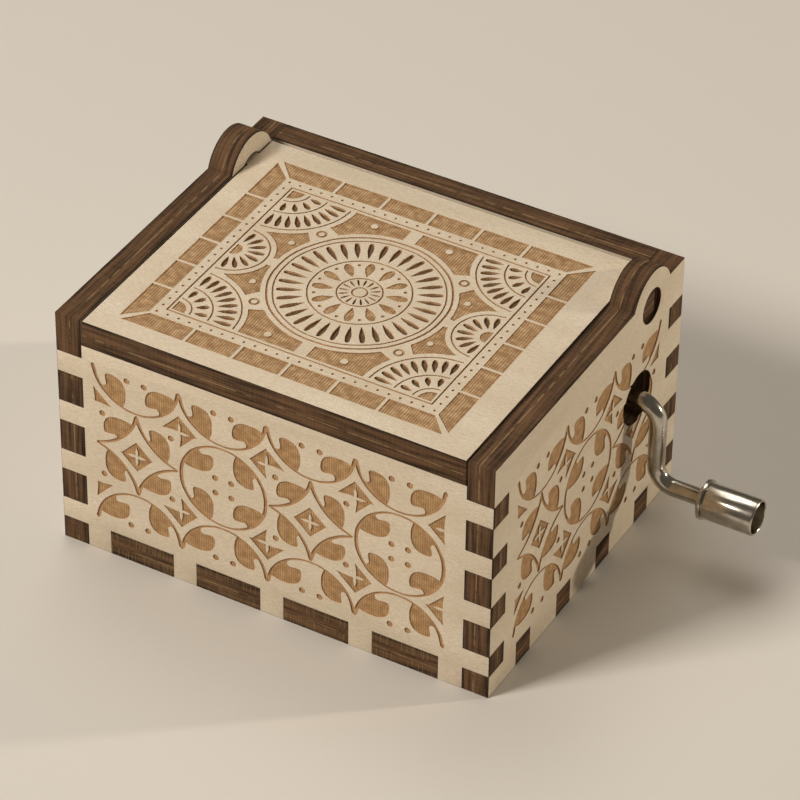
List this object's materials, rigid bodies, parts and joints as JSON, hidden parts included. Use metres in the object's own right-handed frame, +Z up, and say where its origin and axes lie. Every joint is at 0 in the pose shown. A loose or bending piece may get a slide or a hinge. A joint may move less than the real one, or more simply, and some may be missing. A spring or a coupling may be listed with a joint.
{
  "type": "hand-cranked music box",
  "caption": "Small finger-jointed plywood box with a peg-hinged lid and a wire crank that turns a pinned cylinder under a steel comb.",
  "frame": {"origin": "centre of the case's underside, on the base plate's lower face", "axes": "+X to the crank side, +Y from the front to the hinge side, +Z up"},
  "size_m": [0.0824, 0.0516, 0.0405],
  "materials": {
    "plywood": "bare basswood ply with laser-cut edges",
    "zinc_casting": "die-cast, fine matt",
    "bracket_steel": "bright pressed steel",
    "comb_steel": "ground spring steel",
    "screw_steel": "zinc-plated",
    "lead": "dull lead",
    "brass": "turned brass with steel pins",
    "nylon": "moulded nylon",
    "worm_steel": "turned steel",
    "chromed_wire": "bright nickel plate",
    "chromed_knob": "bright nickel plate"
  },
  "bodies": {
    "case": {"base_plate": "plywood", "front_panel": "plywood", "back_panel": "plywood", "left_panel": "plywood", "right_panel": "plywood", "bedplate": "zinc_casting", "front_bracket": "bracket_steel", "back_bracket": "bracket_steel", "bracket_screws": "screw_steel", "comb": "comb_steel", "comb_screws": "screw_steel", "tuning_weights": "lead", "mounting_screws": "screw_steel"},
    "lid": {"lid": "plywood"},
    "cylinder": {"cylinder": "brass", "end_cap": "brass", "arbor": "bracket_steel", "worm_wheel": "nylon"},
    "crank": {"worm": "worm_steel", "crank_wire": "chromed_wire"},
    "knob": {"knob": "chromed_knob"}
  },
  "joints": [
    {"name": "lid_hinge", "type": "hinge", "parent": "case", "child": "lid", "pos_m": [0, 0.01645, 0.0351], "axis": [-1, 0, 0], "range_deg": [0, 140]},
    {"name": "crank_turn", "type": "hinge", "parent": "case", "child": "crank", "pos_m": [0.007, 0.0137, 0.0219], "axis": [1, 0, 0], "continuous": true},
    {"name": "cylinder_turn", "type": "hinge", "parent": "case", "child": "cylinder", "pos_m": [0.007, 0.001, 0.013], "axis": [0, 1, 0], "continuous": true},
    {"name": "knob_spin", "type": "hinge", "parent": "crank", "child": "knob", "pos_m": [0.0463, 0.0137, 0.0093], "axis": [1, 0, 0], "continuous": true}
  ],
  "couplings": [
    {"joint": "cylinder_turn", "follows": "crank_turn", "ratio": -0.038462}
  ]
}
